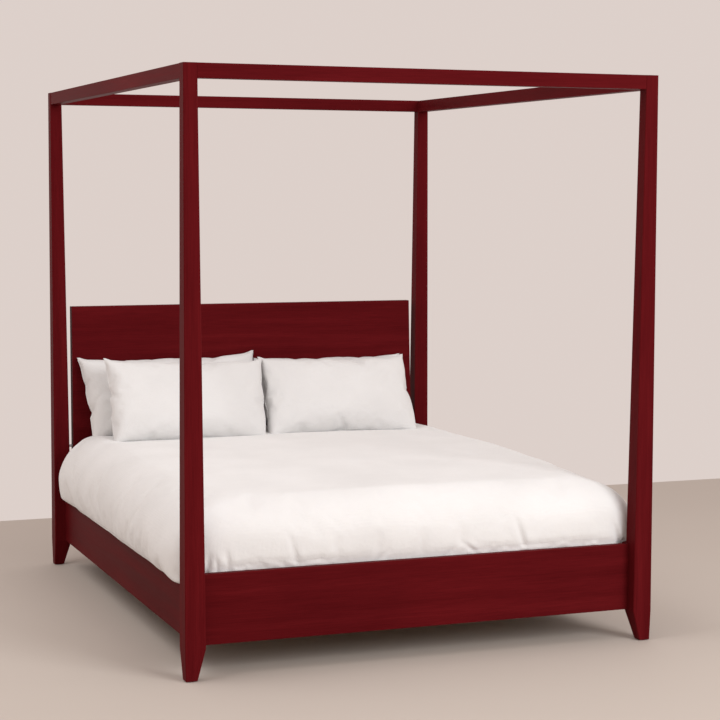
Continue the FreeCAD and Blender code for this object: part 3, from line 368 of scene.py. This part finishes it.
def settle(item, frames, pressure, growth, held, stiffness, bending):
    """Let the cloth settle under its own pressure while it grows a little; held weights keep points still."""
    modifier = item.modifiers.new("settle", "CLOTH")
    cloth = modifier.settings
    cloth.quality = 5
    cloth.mass = 0.25
    cloth.tension_stiffness = stiffness
    cloth.compression_stiffness = stiffness
    cloth.shear_stiffness = stiffness / 3.0
    cloth.bending_stiffness = bending
    cloth.air_damping = 4.0
    cloth.use_pressure = pressure > 0.0
    cloth.uniform_pressure_force = pressure
    cloth.effector_weights.gravity = 0.0
    cloth.shrink_min = -growth
    if held:
        weight_group(item, "held", held)
        cloth.vertex_group_mass = "held"
    modifier.collision_settings.use_collision = False
    modifier.collision_settings.use_self_collision = False
    modifier.point_cache.frame_start = 1
    modifier.point_cache.frame_end = frames
    scene = bpy.context.scene
    for number in range(1, frames + 1):
        scene.frame_set(number)
    settled = item.evaluated_get(bpy.context.evaluated_depsgraph_get())
    places = [vertex.co.copy() for vertex in settled.data.vertices]
    item.modifiers.remove(modifier)
    scene.frame_set(1)
    return places


def limited(start, end, reach):
    """Point moved from start towards end by at most reach."""
    step = end - start
    if step.length > reach:
        step *= reach / step.length
    return start + step


def refine(item, levels=1):
    """Subdivide a mesh and keep the result."""
    modifier = item.modifiers.new("refine", "SUBSURF")
    modifier.levels = levels
    modifier.render_levels = levels
    fine = bpy.data.meshes.new_from_object(item.evaluated_get(bpy.context.evaluated_depsgraph_get()))
    item.modifiers.remove(modifier)
    item.data = fine
    item.data.polygons.foreach_set("use_smooth", [True] * len(item.data.polygons))


TUBE_UP = Vector((0.31, 0.17, 0.93))     # near upright, but along no edge of the bed


def tube(name, path, radius, material, sides=6):
    """Closed tube along a closed path."""
    count = len(path)
    points = []
    faces = []
    for k, point in enumerate(path):
        ahead = (path[(k + 1) % count] - path[k - 1]).normalized()
        side = ahead.cross(TUBE_UP).normalized()
        up = side.cross(ahead)
        for m in range(sides):
            angle = 2.0 * math.pi * m / sides
            points.append(point + radius * (math.cos(angle) * side + math.sin(angle) * up))
    for k in range(count):
        for m in range(sides):
            n = (m + 1) % sides
            after = ((k + 1) % count) * sides
            faces.append([k * sides + m, k * sides + n, after + n, after + m])
    return mesh_object(name, points, faces, material)


def joined(item, *others):
    """Merge others into item."""
    bm = bmesh.new()
    bm.from_mesh(item.data)
    for other in others:
        bm.from_mesh(other.data)
        bpy.data.objects.remove(other)
    bm.to_mesh(item.data)
    bm.free()
    item.data.polygons.foreach_set("use_smooth", [True] * len(item.data.polygons))
    return item


# Duvet: a lid over the mattress. Its flat middle turns down over both sides and the foot.
TOP = DUVET_HIGH.z - 0.026
INNER_TOP = MATTRESS_HIGH.z + 0.002
SIDE_OUT = DUVET_HIGH.x - 0.002
SIDE_TURN = 0.170
FOOT_OUT = -DUVET_LOW.y - 0.006
FOOT_TURN = 0.112
SIDE_HEM = DUVET_LOW.z + 0.008
FOOT_HEM = RAIL_HIGH.z - 0.012
HEAD_ROUND = 0.022                # rounded edge of the head end
HEAD_END = DUVET_HIGH.y - HEAD_ROUND
RAIL_TOP = RAIL_HIGH.z
RAIL_OUTER = -SIDE_LOW.x
WELL_INNER = -SIDE_HIGH.x
FOOT_RAIL_INNER = RAIL_HIGH.y
INNER_TURN = 0.018
DUVET_STEP = 0.015
SIDE_BULGE = 0.012                # how far the hanging cloth swells out
FOOT_FLATTER = 0.004              # how much less it swells at the foot
RUFFLE_OUT = 0.007                # waves of the hanging sides, in and out
RUFFLE_UP = 0.009                 # waves of the side hems, up and down
CORNER_BACK = 0.085               # how far the head end's corners are rounded towards the foot
CORNER_HANG = 0.040               # how much less their hanging part is drawn back
CROWN_RISE = 0.014                # middle of the filling above its sides
HEAD_RISE = 0.006                 # towards the head
FOOT_FALL = 0.010                 # towards the foot
PILLOW_DENT = 0.018               # under the pillows
BROAD_LUMPS = 0.006
SMALL_LUMPS = 0.0025
HEM_FALL = 0.010                  # at the head end's edge
HEM_ROUND = 0.010                 # how far the hem's edge drops below both layers
SETTLE_REACH = 0.018              # farthest that a point of the duvet moves while it settles
HEM_RADIUS = 0.0028
FOOT_GAP = 0.0015                 # from the foot rail's inner face to the cloth below its top
FOOT_OVERHANG = 0.014             # how far the cloth may lean out above that rail
FOOT_SOFT = 0.003                 # how gently the cloth flattens at that limit
SIDE_SPARE = 0.018                # how far the settled sides may pass SIDE_OUT
GATHER_DEPTH = 0.0035


def turned(distance, radius, drop):
    """How far out and how far down a cloth has gone after a distance over a rounded edge."""
    arc = 0.5 * math.pi * radius
    if distance <= 0.0:
        return 0.0, 0.0
    if distance < arc:
        angle = distance / radius
        return radius * math.sin(angle), radius * (1.0 - math.cos(angle))
    return radius, min(drop, radius + distance - arc)


def skirt_length(radius, drop):
    """Length of cloth from the flat middle to the hem."""
    return 0.5 * math.pi * radius + drop - radius


class DuvetForm:
    """Place of the duvet's cloth before it settles."""

    def __init__(self):
        self.flat_x = SIDE_OUT - SIDE_TURN
        self.flat_y = FOOT_OUT - FOOT_TURN
        self.side_drop = TOP - SIDE_HEM
        self.foot_drop = TOP - FOOT_HEM
        side = skirt_length(SIDE_TURN, self.side_drop)
        foot = skirt_length(FOOT_TURN, self.foot_drop)
        self.side_cells = round(side / DUVET_STEP)
        self.foot_cells = round(foot / DUVET_STEP)
        self.mid_cells = 2 * round(self.flat_x / DUVET_STEP)
        self.long_cells = round((HEAD_END + self.flat_y) / DUVET_STEP)
        self.columns = self.mid_cells + 2 * self.side_cells
        self.rows = self.long_cells + self.foot_cells

    def skirt(self, i, j):
        """Nearest point of the flat middle, and how far and which way a grid point lies beyond it."""
        left = self.side_cells - i
        right = i - self.side_cells - self.mid_cells
        over_x = max(left, right, 0) / self.side_cells
        over_y = max(j - self.long_cells, 0) / self.foot_cells
        column = min(max(i - self.side_cells, 0), self.mid_cells) / self.mid_cells
        row = min(j, self.long_cells) / self.long_cells
        base = Vector((self.flat_x * (2.0 * column - 1.0), HEAD_END - (HEAD_END + self.flat_y) * row, 0.0))
        sign = -1.0 if left > 0 else 1.0
        if over_x >= over_y:
            turn = 0.25 * math.pi * (over_y / over_x if over_x else 0.0)
        else:
            turn = 0.5 * math.pi - 0.25 * math.pi * over_x / over_y
        return base, max(over_x, over_y), turn, sign

    def outer(self, i, j):
        """Upper layer, which rounds over the sides and the foot and hangs to its hem."""
        base, share, turn, sign = self.skirt(i, j)
        foot = math.sin(turn) ** 2
        radius = SIDE_TURN + (FOOT_TURN - SIDE_TURN) * foot
        drop = self.side_drop + (self.foot_drop - self.side_drop) * foot
        out, down = turned(share * skirt_length(radius, drop), radius, drop)
        bulge = (SIDE_BULGE - FOOT_FLATTER * foot) * math.sin(math.pi * down / drop) if down > 0.0 else 0.0
        out += bulge
        point = base + Vector((sign * out * math.cos(turn), -out * math.sin(turn), TOP - down))
        point.y -= self.drawn_back(base.y, abs(point.x), down)
        point.z += self.crown(point) * (1.0 - smooth(down, 0.0, 0.12))
        ruffle = smooth(down, 0.12, 0.24) * math.cos(turn) ** 2
        point.x += sign * ruffle * RUFFLE_OUT * noise.noise(Vector((point.y * 9.0, 2.0 * sign, 3.0)))
        point.z += ruffle * RUFFLE_UP * noise.noise(Vector((point.y * 5.0, 7.0 * sign, 6.0)))
        return point

    def drawn_back(self, y, out, down):
        """How far the head end's corners are rounded back towards the foot."""
        near_head = smooth(y, 0.35, HEAD_END)
        return near_head * (CORNER_BACK * smooth(out, 0.60, 0.84) - CORNER_HANG * smooth(down, 0.08, 0.24))

    def crown(self, point):
        """Fill stands a little higher in the middle and wanders in soft lumps."""
        middle = 1.0 - (point.x / SIDE_OUT) ** 2
        lumps = noise.noise(Vector((point.x * 2.2, point.y * 2.6, 4.0)))
        small = noise.noise(Vector((point.x * 6.5, point.y * 5.5, 9.0)))
        edge = smooth(HEAD_END - point.y, 0.0, 0.07)
        head = HEAD_RISE * smooth(point.y, 0.30, 0.85)
        foot = FOOT_FALL * smooth(-point.y, 0.45, 0.95)
        pillows = PILLOW_DENT * smooth(point.y, 0.46, 0.62) * (1.0 - smooth(abs(point.x), 0.66, 0.80))
        fill = CROWN_RISE * middle + head - foot - pillows + BROAD_LUMPS * lumps + SMALL_LUMPS * small
        return fill - HEM_FALL * (1.0 - edge)

    def inner(self, i, j):
        """Lower layer, which lies on the mattress, turns down beside it and goes out over the side rails."""
        base, share, turn, sign = self.skirt(i, j)
        foot = math.sin(turn) ** 2
        inside_x = WELL_INNER + 0.0012 - self.flat_x
        inside_y = -FOOT_RAIL_INNER - 0.011 - self.flat_y
        drop = self.side_drop + (self.foot_drop - self.side_drop) * foot
        length = skirt_length(SIDE_TURN, drop)
        distance = share * length
        reach = inside_x + (inside_y - inside_x) * foot
        lead = reach - INNER_TURN
        below = INNER_TOP - TOP + drop
        beyond = max(0.0, distance - lead) * skirt_length(INNER_TURN, below) / (length - lead)
        out, depth = turned(beyond, INNER_TURN, below)
        out += min(distance, lead)
        height = INNER_TOP - depth
        spread = (RAIL_OUTER + 0.003 - WELL_INNER) * smooth(height, RAIL_TOP + 0.045, RAIL_TOP + 0.004)
        if turn < 0.5 * math.pi:
            out += spread * (1.0 - foot)
        point = base + Vector((sign * out * math.cos(turn), -out * math.sin(turn), height))
        point.y -= self.drawn_back(base.y, abs(point.x), INNER_TOP - height)
        return point

    def rim(self, i, j):
        """Edge between the layers, rounded out at the head end and down at the sides and the foot."""
        middle = 0.5 * (self.outer(i, j) + self.inner(i, j))
        if j == 0:
            middle.y += HEAD_ROUND
        if i in (0, self.columns) or j == self.rows:
            middle.z -= HEM_ROUND
        return middle


def kept_above(value, limit, softness):
    """Value kept above a limit, with a gentle turn near it."""
    excess = (value - limit) / softness
    if excess > 20.0:
        return value
    return limit + softness * math.log1p(math.exp(excess))


def clear_of_frame(point):
    """Duvet point kept off the foot rail and the foot posts, and its sides from standing too far out."""
    foot_limit = FOOT_RAIL_INNER + FOOT_GAP
    side = abs(point.x)
    if side > WELL_INNER + 0.002:
        point.y = max(point.y, foot_limit + 0.001)
    else:
        over_rail = smooth(point.z, RAIL_TOP + 0.001, RAIL_TOP + 0.045)
        point.y = kept_above(point.y, foot_limit - FOOT_OVERHANG * over_rail, FOOT_SOFT)
    point.x = math.copysign(min(side, SIDE_OUT + SIDE_SPARE), point.x)
    return point


# Creases at the foot of the duvet: place across the bed at the rail's top, height, slant, width and depth.
FOOT_CREASES = [
    (-0.775, 0.055, 0.10, 0.011, 0.008),
    (-0.742, 0.048, -0.15, 0.010, 0.008),
    (-0.704, 0.060, -0.10, 0.012, 0.007),
    (-0.640, 0.034, 0.20, 0.010, 0.004),
    (-0.457, 0.100, -0.29, 0.011, 0.007),
    (-0.385, 0.030, 0.50, 0.010, 0.005),
    (-0.160, 0.024, 0.80, 0.011, 0.006),
    (0.097, 0.028, 0.90, 0.011, 0.006),
    (0.212, 0.040, -1.20, 0.011, 0.008),
    (0.255, 0.026, 0.40, 0.009, 0.005),
    (0.401, 0.105, -0.33, 0.012, 0.010),
    (0.560, 0.030, -0.60, 0.010, 0.004),
    (0.785, 0.070, -0.40, 0.010, 0.008),
]


def foot_creases(point):
    """Depth of the creases that run up from the tucked foot, each a groove with a raised lip beside it."""
    depth = 0.0
    up = point.z - RAIL_TOP
    for place, tall, slant, width, deep in FOOT_CREASES:
        across = (point.x - place - slant * up) / width
        if up < 1.5 * tall and abs(across) < 5.0:
            fade = 1.0 - smooth(up, 0.4 * tall, 1.5 * tall)
            depth += deep * fade * (math.exp(-across ** 2) - 0.6 * math.exp(-((across - 1.9) / 1.3) ** 2))
    return depth


def hem_gathers(point):
    """Small irregular gathers just above the tucked foot."""
    wave = noise.noise(Vector((point.x * 27.0, point.z * 9.0, 2.0)))
    patch = smooth(noise.noise(Vector((point.x * 4.1, 8.0, 1.0))), -0.10, 0.25)
    near = 1.0 - smooth(point.z - RAIL_TOP, 0.01, 0.07)
    return GATHER_DEPTH * wave * near * (0.15 + 0.85 * patch)


def make_duvet():
    """Duvet with soft folds, gathers at the foot and a stitched hem."""
    form = DuvetForm()
    points, faces, loop, outer_count = two_layers(form.columns, form.rows, form.outer, form.inner, form.rim)
    item = mesh_object("duvet_cover", points, faces, DUVET_COTTON)
    held = [0.0 if k < outer_count else 1.0 for k in range(len(points))]
    settled = settle(item, frames=14, pressure=0.8, growth=0.008, held=held, stiffness=12.0, bending=0.20)
    for vertex, place in zip(item.data.vertices, settled):
        vertex.co = limited(vertex.co, place, SETTLE_REACH)
    refine(item)
    normals = [vertex.normal.copy() for vertex in item.data.vertices]
    for vertex, normal in zip(item.data.vertices, normals):
        point = vertex.co.copy()
        facing = smooth(-normal.y, 0.2, 0.7) * smooth(-point.y, 0.90, 0.96)
        if facing > 0.0:
            point.y += facing * (foot_creases(point) + hem_gathers(point))
        if normal.z > -0.3 or point.z < RAIL_TOP:
            vertex.co = clear_of_frame(point)
    hem = [item.data.vertices[k].co.copy() for k in loop]
    seam = tube("duvet_hem", hem, HEM_RADIUS, DUVET_COTTON)
    joined(item, seam)
    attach(item, "root")
    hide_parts("duvet")
    return item


PILLOW_TALL = 0.382               # height of a pillow case laid flat
PILLOW_GAP = 0.002                # between a pillow and the headboard
PILLOW_LOFT = 0.052               # half the thickness of its filling before it settles
PILLOW_STEP = 0.011
PILLOW_SINK = 0.018               # its origin below the duvet's plain top
PILLOW_FOOT = 0.010               # its lowest edge below its origin
PILLOW_SAG_TALL = 0.30            # below this height its filling gathers
PILLOW_SAG = 0.16                 # share by which the filling is thicker at its foot
PILLOW_SEAM = 0.0022
PILLOW_SOFT = 0.004               # how gently it flattens against the headboard
PRESSED = 0.2                     # share of its depth in the duvet that a pillow keeps


class PillowPose:
    """Where a pillow leans: the middle of its underside, its angles in degrees, its width and own shape."""

    def __init__(self, across, along, lean, turn, tilt, width, taper, seed):
        self.place = Vector((across, along, TOP - PILLOW_SINK))
        self.lean = lean
        self.turn = turn
        self.tilt = tilt
        self.width = width
        self.taper = taper
        self.seed = seed

    def matrix(self):
        """Tilt in its own plane, lean back, then turn about the vertical and move into place."""
        tilt = Matrix.Rotation(math.radians(self.tilt), 4, "Y")
        lean = Matrix.Rotation(-math.radians(self.lean), 4, "X")
        turn = Matrix.Rotation(math.radians(self.turn), 4, "Z")
        return Matrix.Translation(self.place) @ turn @ lean @ tilt


PILLOWS = {
    "pillow_rear_left": PillowPose(-0.368, 0.850, 24.0, 0.0, -0.6, 0.770, 0.030, 3.0),
    "pillow_rear_right": PillowPose(0.384, 0.850, 33.0, 0.0, 0.0, 0.688, 0.020, 11.0),
    "pillow_front_left": PillowPose(-0.364, 0.640, 24.0, 0.0, 1.5, 0.688, 0.016, 19.0),
    "pillow_front_right": PillowPose(0.324, 0.640, 28.0, 0.0, 0.7, 0.688, -0.010, 27.0),
}

BOARD_LOW, BOARD_HIGH = span("headboard")
BOARD_TOP_FRONT = min(vertex.co.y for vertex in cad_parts["headboard"].data.vertices
                      if vertex.co.z > BOARD_HIGH.z - 0.01)


def board_front(level):
    """How far along the bed the leaning headboard's front face is at a level."""
    share = (level - BOARD_LOW.z) / (BOARD_HIGH.z - BOARD_LOW.z)
    return BOARD_LOW.y + share * (BOARD_TOP_FRONT - BOARD_LOW.y)


def pillow_form(width, height, step, taper, seed):
    """Flat pillow case, slightly filled, standing on edge: width along X, height along Z."""
    columns = round(width / step)
    rows = round(height / step)

    def place(i, j, side):
        u = 2.0 * i / columns - 1.0
        v = 2.0 * j / rows - 1.0
        fill = ((1.0 - u ** 4) * (1.0 - v ** 4)) ** 0.6
        wander = noise.noise(Vector((u * 2.5, v * 2.5, seed)))
        lumps = 1.0 + 0.16 * noise.noise(Vector((u * 1.7 + seed, v * 1.3, 6.0 * side)))
        ear = (u * v) ** 8
        seam = smooth(max(abs(u), abs(v)), 0.50, 0.85)
        pucker = seam * noise.noise(Vector((u * 8.0, v * 5.0, seed + 3.0 * side)))
        return Vector((0.5 * width * u * (1.0 + 0.022 * (1.0 - v * v) + taper * v + 0.012 * ear),
                       side * (0.003 + PILLOW_LOFT * fill * lumps) + 0.004 * wander + 0.007 * fill * pucker,
                       0.5 * height * v * (1.0 + 0.024 * (1.0 - u * u) + 0.060 * ear)))

    def rim(i, j):
        point = place(i, j, 0.0)
        point.x *= 1.004
        point.z *= 1.004
        return point

    return two_layers(columns, rows, lambda i, j: place(i, j, -1.0), lambda i, j: place(i, j, 1.0), rim)


def make_pillow(name):
    """Pillow leaning back, its case drawn tight by the filling."""
    pose = PILLOWS[name]
    points, faces, loop, _ = pillow_form(pose.width, PILLOW_TALL, PILLOW_STEP, pose.taper, pose.seed)
    item = mesh_object(name + "_case", points, faces, PILLOW_COTTON)
    settled = settle(item, frames=16, pressure=1.8, growth=0.018, held=None, stiffness=16.0, bending=0.15)
    for vertex, point in zip(item.data.vertices, settled):
        vertex.co = point
    low = min(vertex.co.z for vertex in item.data.vertices)
    for vertex in item.data.vertices:
        point = vertex.co
        point.z -= low + PILLOW_FOOT
        sag = smooth(PILLOW_SAG_TALL - point.z, 0.0, PILLOW_SAG_TALL)
        point.y *= 1.0 + PILLOW_SAG * sag
    refine(item)
    seam = [item.data.vertices[k].co.copy() for k in loop]
    joined(item, tube(name + "_seam", seam, PILLOW_SEAM, PILLOW_COTTON))
    item.data.transform(pose.matrix())
    bed = TOP + 0.001
    for vertex in item.data.vertices:
        point = vertex.co
        if point.z < bed:
            point.z = bed + PRESSED * (point.z - bed)
        point.y = -kept_above(-point.y, PILLOW_GAP - board_front(point.z), PILLOW_SOFT)
    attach(item, "root")
    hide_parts(name)
    return item


def rounded_loop(low, high, radius, height, step):
    """Closed path round a rectangle with rounded corners."""
    path = []
    corners = [(high.x - radius, high.y - radius, 0.0), (low.x + radius, high.y - radius, 0.5),
               (low.x + radius, low.y + radius, 1.0), (high.x - radius, low.y + radius, 1.5)]
    for (x, y, start), (next_x, next_y, _) in zip(corners, corners[1:] + corners[:1]):
        for k in range(9):
            angle = math.pi * (start + k / 16.0)
            path.append(Vector((x + radius * math.cos(angle), y + radius * math.sin(angle), height)))
        end = math.pi * (start + 0.5)
        following = Vector((next_x + radius * math.cos(end), next_y + radius * math.sin(end), height))
        cells = max(1, round((following - path[-1]).length / step))
        start_point = path[-1].copy()
        for k in range(1, cells):
            path.append(start_point.lerp(following, k / cells))
    return path


MATTRESS_CORNER = 0.060
MATTRESS_STEP = 0.03
MATTRESS_EASE = Vector((0.005, 0.005, 0.0))      # how far its sides lie inside its box
PIPING_EASE = Vector((0.004, 0.004, 0.0))        # how far its piping's middle lies inside its box
PIPING_STEP = 0.03
PIPING_LEVELS = (0.045, 0.955)                   # shares of the thickness
PIPING_RADIUS = 0.0045
PANEL_RINGS = (0.9, 0.7, 0.45, 0.2)              # size of each ring as a share of the one outside it
MATTRESS_PROFILE = [
    # share of the thickness, distance in from the side
    (0.0, 0.050),
    (0.0, 0.018),
    (0.03, 0.004),
    (0.10, 0.0),
    (0.3, -0.003),
    (0.5, -0.004),
    (0.7, -0.003),
    (0.90, 0.0),
    (0.97, 0.004),
    (1.0, 0.018),
    (1.0, 0.050),
]


def mattress_level(share):
    """Height of a share of the mattress's thickness."""
    return MATTRESS_LOW.z + (MATTRESS_HIGH.z - MATTRESS_LOW.z) * share


def mattress_ring(share, inset):
    """Loop round the mattress at one level of its profile."""
    low, high = MATTRESS_LOW, MATTRESS_HIGH
    centre = 0.5 * (low + high)
    ring = rounded_loop(low + MATTRESS_EASE, high - MATTRESS_EASE, MATTRESS_CORNER, mattress_level(share),
                        MATTRESS_STEP)
    for point in ring:
        point.x = centre.x + (point.x - centre.x) * (1.0 - 2.0 * inset / (high.x - low.x))
        point.y = centre.y + (point.y - centre.y) * (1.0 - 2.0 * inset / (high.y - low.y))
    return ring


def close_panel(points, faces, ring, upward):
    """Close a ring of the mattress with smaller and smaller rings."""
    centre = 0.5 * (MATTRESS_LOW + MATTRESS_HIGH)
    count = len(ring)
    for share in PANEL_RINGS:
        inner = []
        for index in ring:
            point = points[index]
            inner.append(len(points))
            points.append(Vector((centre.x + (point.x - centre.x) * share,
                                  centre.y + (point.y - centre.y) * share, point.z)))
        for m in range(count):
            n = (m + 1) % count
            face = [ring[m], ring[n], inner[n], inner[m]]
            faces.append(face if upward else face[::-1])
        ring = inner
    faces.append(ring if upward else ring[::-1])


def mattress_piping(share):
    """Piped edge round the mattress."""
    path = rounded_loop(MATTRESS_LOW + PIPING_EASE, MATTRESS_HIGH - PIPING_EASE, MATTRESS_CORNER,
                        mattress_level(share), PIPING_STEP)
    return tube("mattress_piping", path, PIPING_RADIUS, TICKING)


def make_mattress():
    """Mattress with rounded borders, plain panels and a piped edge above and below."""
    rings = [mattress_ring(share, inset) for share, inset in MATTRESS_PROFILE]
    count = len(rings[0])
    last = len(rings) - 1
    points = [point for ring in rings for point in ring]
    faces = []
    for k in range(last):
        for m in range(count):
            n = (m + 1) % count
            faces.append([k * count + m, k * count + n, (k + 1) * count + n, (k + 1) * count + m])
    close_panel(points, faces, list(range(count)), False)
    close_panel(points, faces, list(range(last * count, (last + 1) * count)), True)
    item = mesh_object("mattress_body", points, faces, TICKING)
    joined(item, *[mattress_piping(share) for share in PIPING_LEVELS])
    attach(item, "root")
    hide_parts("mattress")
    return item


# ---------------------------------------------------------------- stage, light and camera


def plain(name, colour, roughness):
    """Material for the stage."""
    material, _, shader = new_material(name)
    shader.inputs["Base Color"].default_value = (*colour, 1.0)
    shader.inputs["Roughness"].default_value = roughness
    return material


FLOOR_REACH = 30.0                # to both sides and towards the camera
FLOOR_END = 2.2                   # along the bed, from its middle


def make_stage():
    """Pale floor that ends a little way behind the head of the bed, as at a wall."""
    corners = [
        (-FLOOR_REACH, -FLOOR_REACH, 0.0),
        (FLOOR_REACH, -FLOOR_REACH, 0.0),
        (FLOOR_REACH, FLOOR_END, 0.0),
        (-FLOOR_REACH, FLOOR_END, 0.0),
    ]
    pale = plain("studio_floor", (0.52, 0.46, 0.41), 0.75)
    floor = mesh_object("studio_floor", corners, [[0, 1, 2, 3]], pale)


def area_light(name, place, target, size, power, colour):
    """Soft square light aimed at a point."""
    data = bpy.data.lights.new(name, "AREA")
    data.shape = "SQUARE"
    data.size = size
    data.energy = power
    data.color = colour
    item = bpy.data.objects.new(name, data)
    item.location = place
    item.rotation_euler = (Vector(target) - Vector(place)).to_track_quat("-Z", "Y").to_euler()
    bpy.context.scene.collection.objects.link(item)


def make_lights():
    """Key from the front right, a soft light overhead to the left, pale surroundings."""
    area_light("key", place=(2.6, -6.4, 3.3), target=(0.0, -0.2, 0.7), size=3.0, power=285.0,
               colour=(0.965, 0.985, 1.0))
    area_light("overhead", place=(-3.4, -0.8, 4.6), target=(-0.4, 0.0, 0.5), size=3.0, power=84.0,
               colour=(0.98, 0.99, 1.0))
    world = bpy.data.worlds.new("surroundings")
    world.use_nodes = True
    backdrop = world.node_tree.nodes["Background"]
    backdrop.inputs["Color"].default_value = (0.915, 0.80, 0.75, 1.0)
    backdrop.inputs["Strength"].default_value = 0.79
    bpy.context.scene.world = world


def make_camera():
    """Standing eye height, in front of the foot end and to its left."""
    data = bpy.data.cameras.new("camera")
    data.lens = 94.21
    data.sensor_width = 36.0
    data.shift_y = -0.0417
    data.clip_end = 60.0
    item = bpy.data.objects.new("camera", data)
    item.location = (-2.5301, -7.0045, 1.6262)
    item.rotation_euler = Euler([math.radians(angle) for angle in (85.78, -0.18, -20.93)])
    bpy.context.scene.collection.objects.link(item)
    bpy.context.scene.camera = item


paint_frame()
make_mattress()
make_duvet()
for pillow in PILLOWS:
    make_pillow(pillow)
make_stage()
make_lights()
make_camera()
bpy.context.scene.view_settings.view_transform = "Standard"
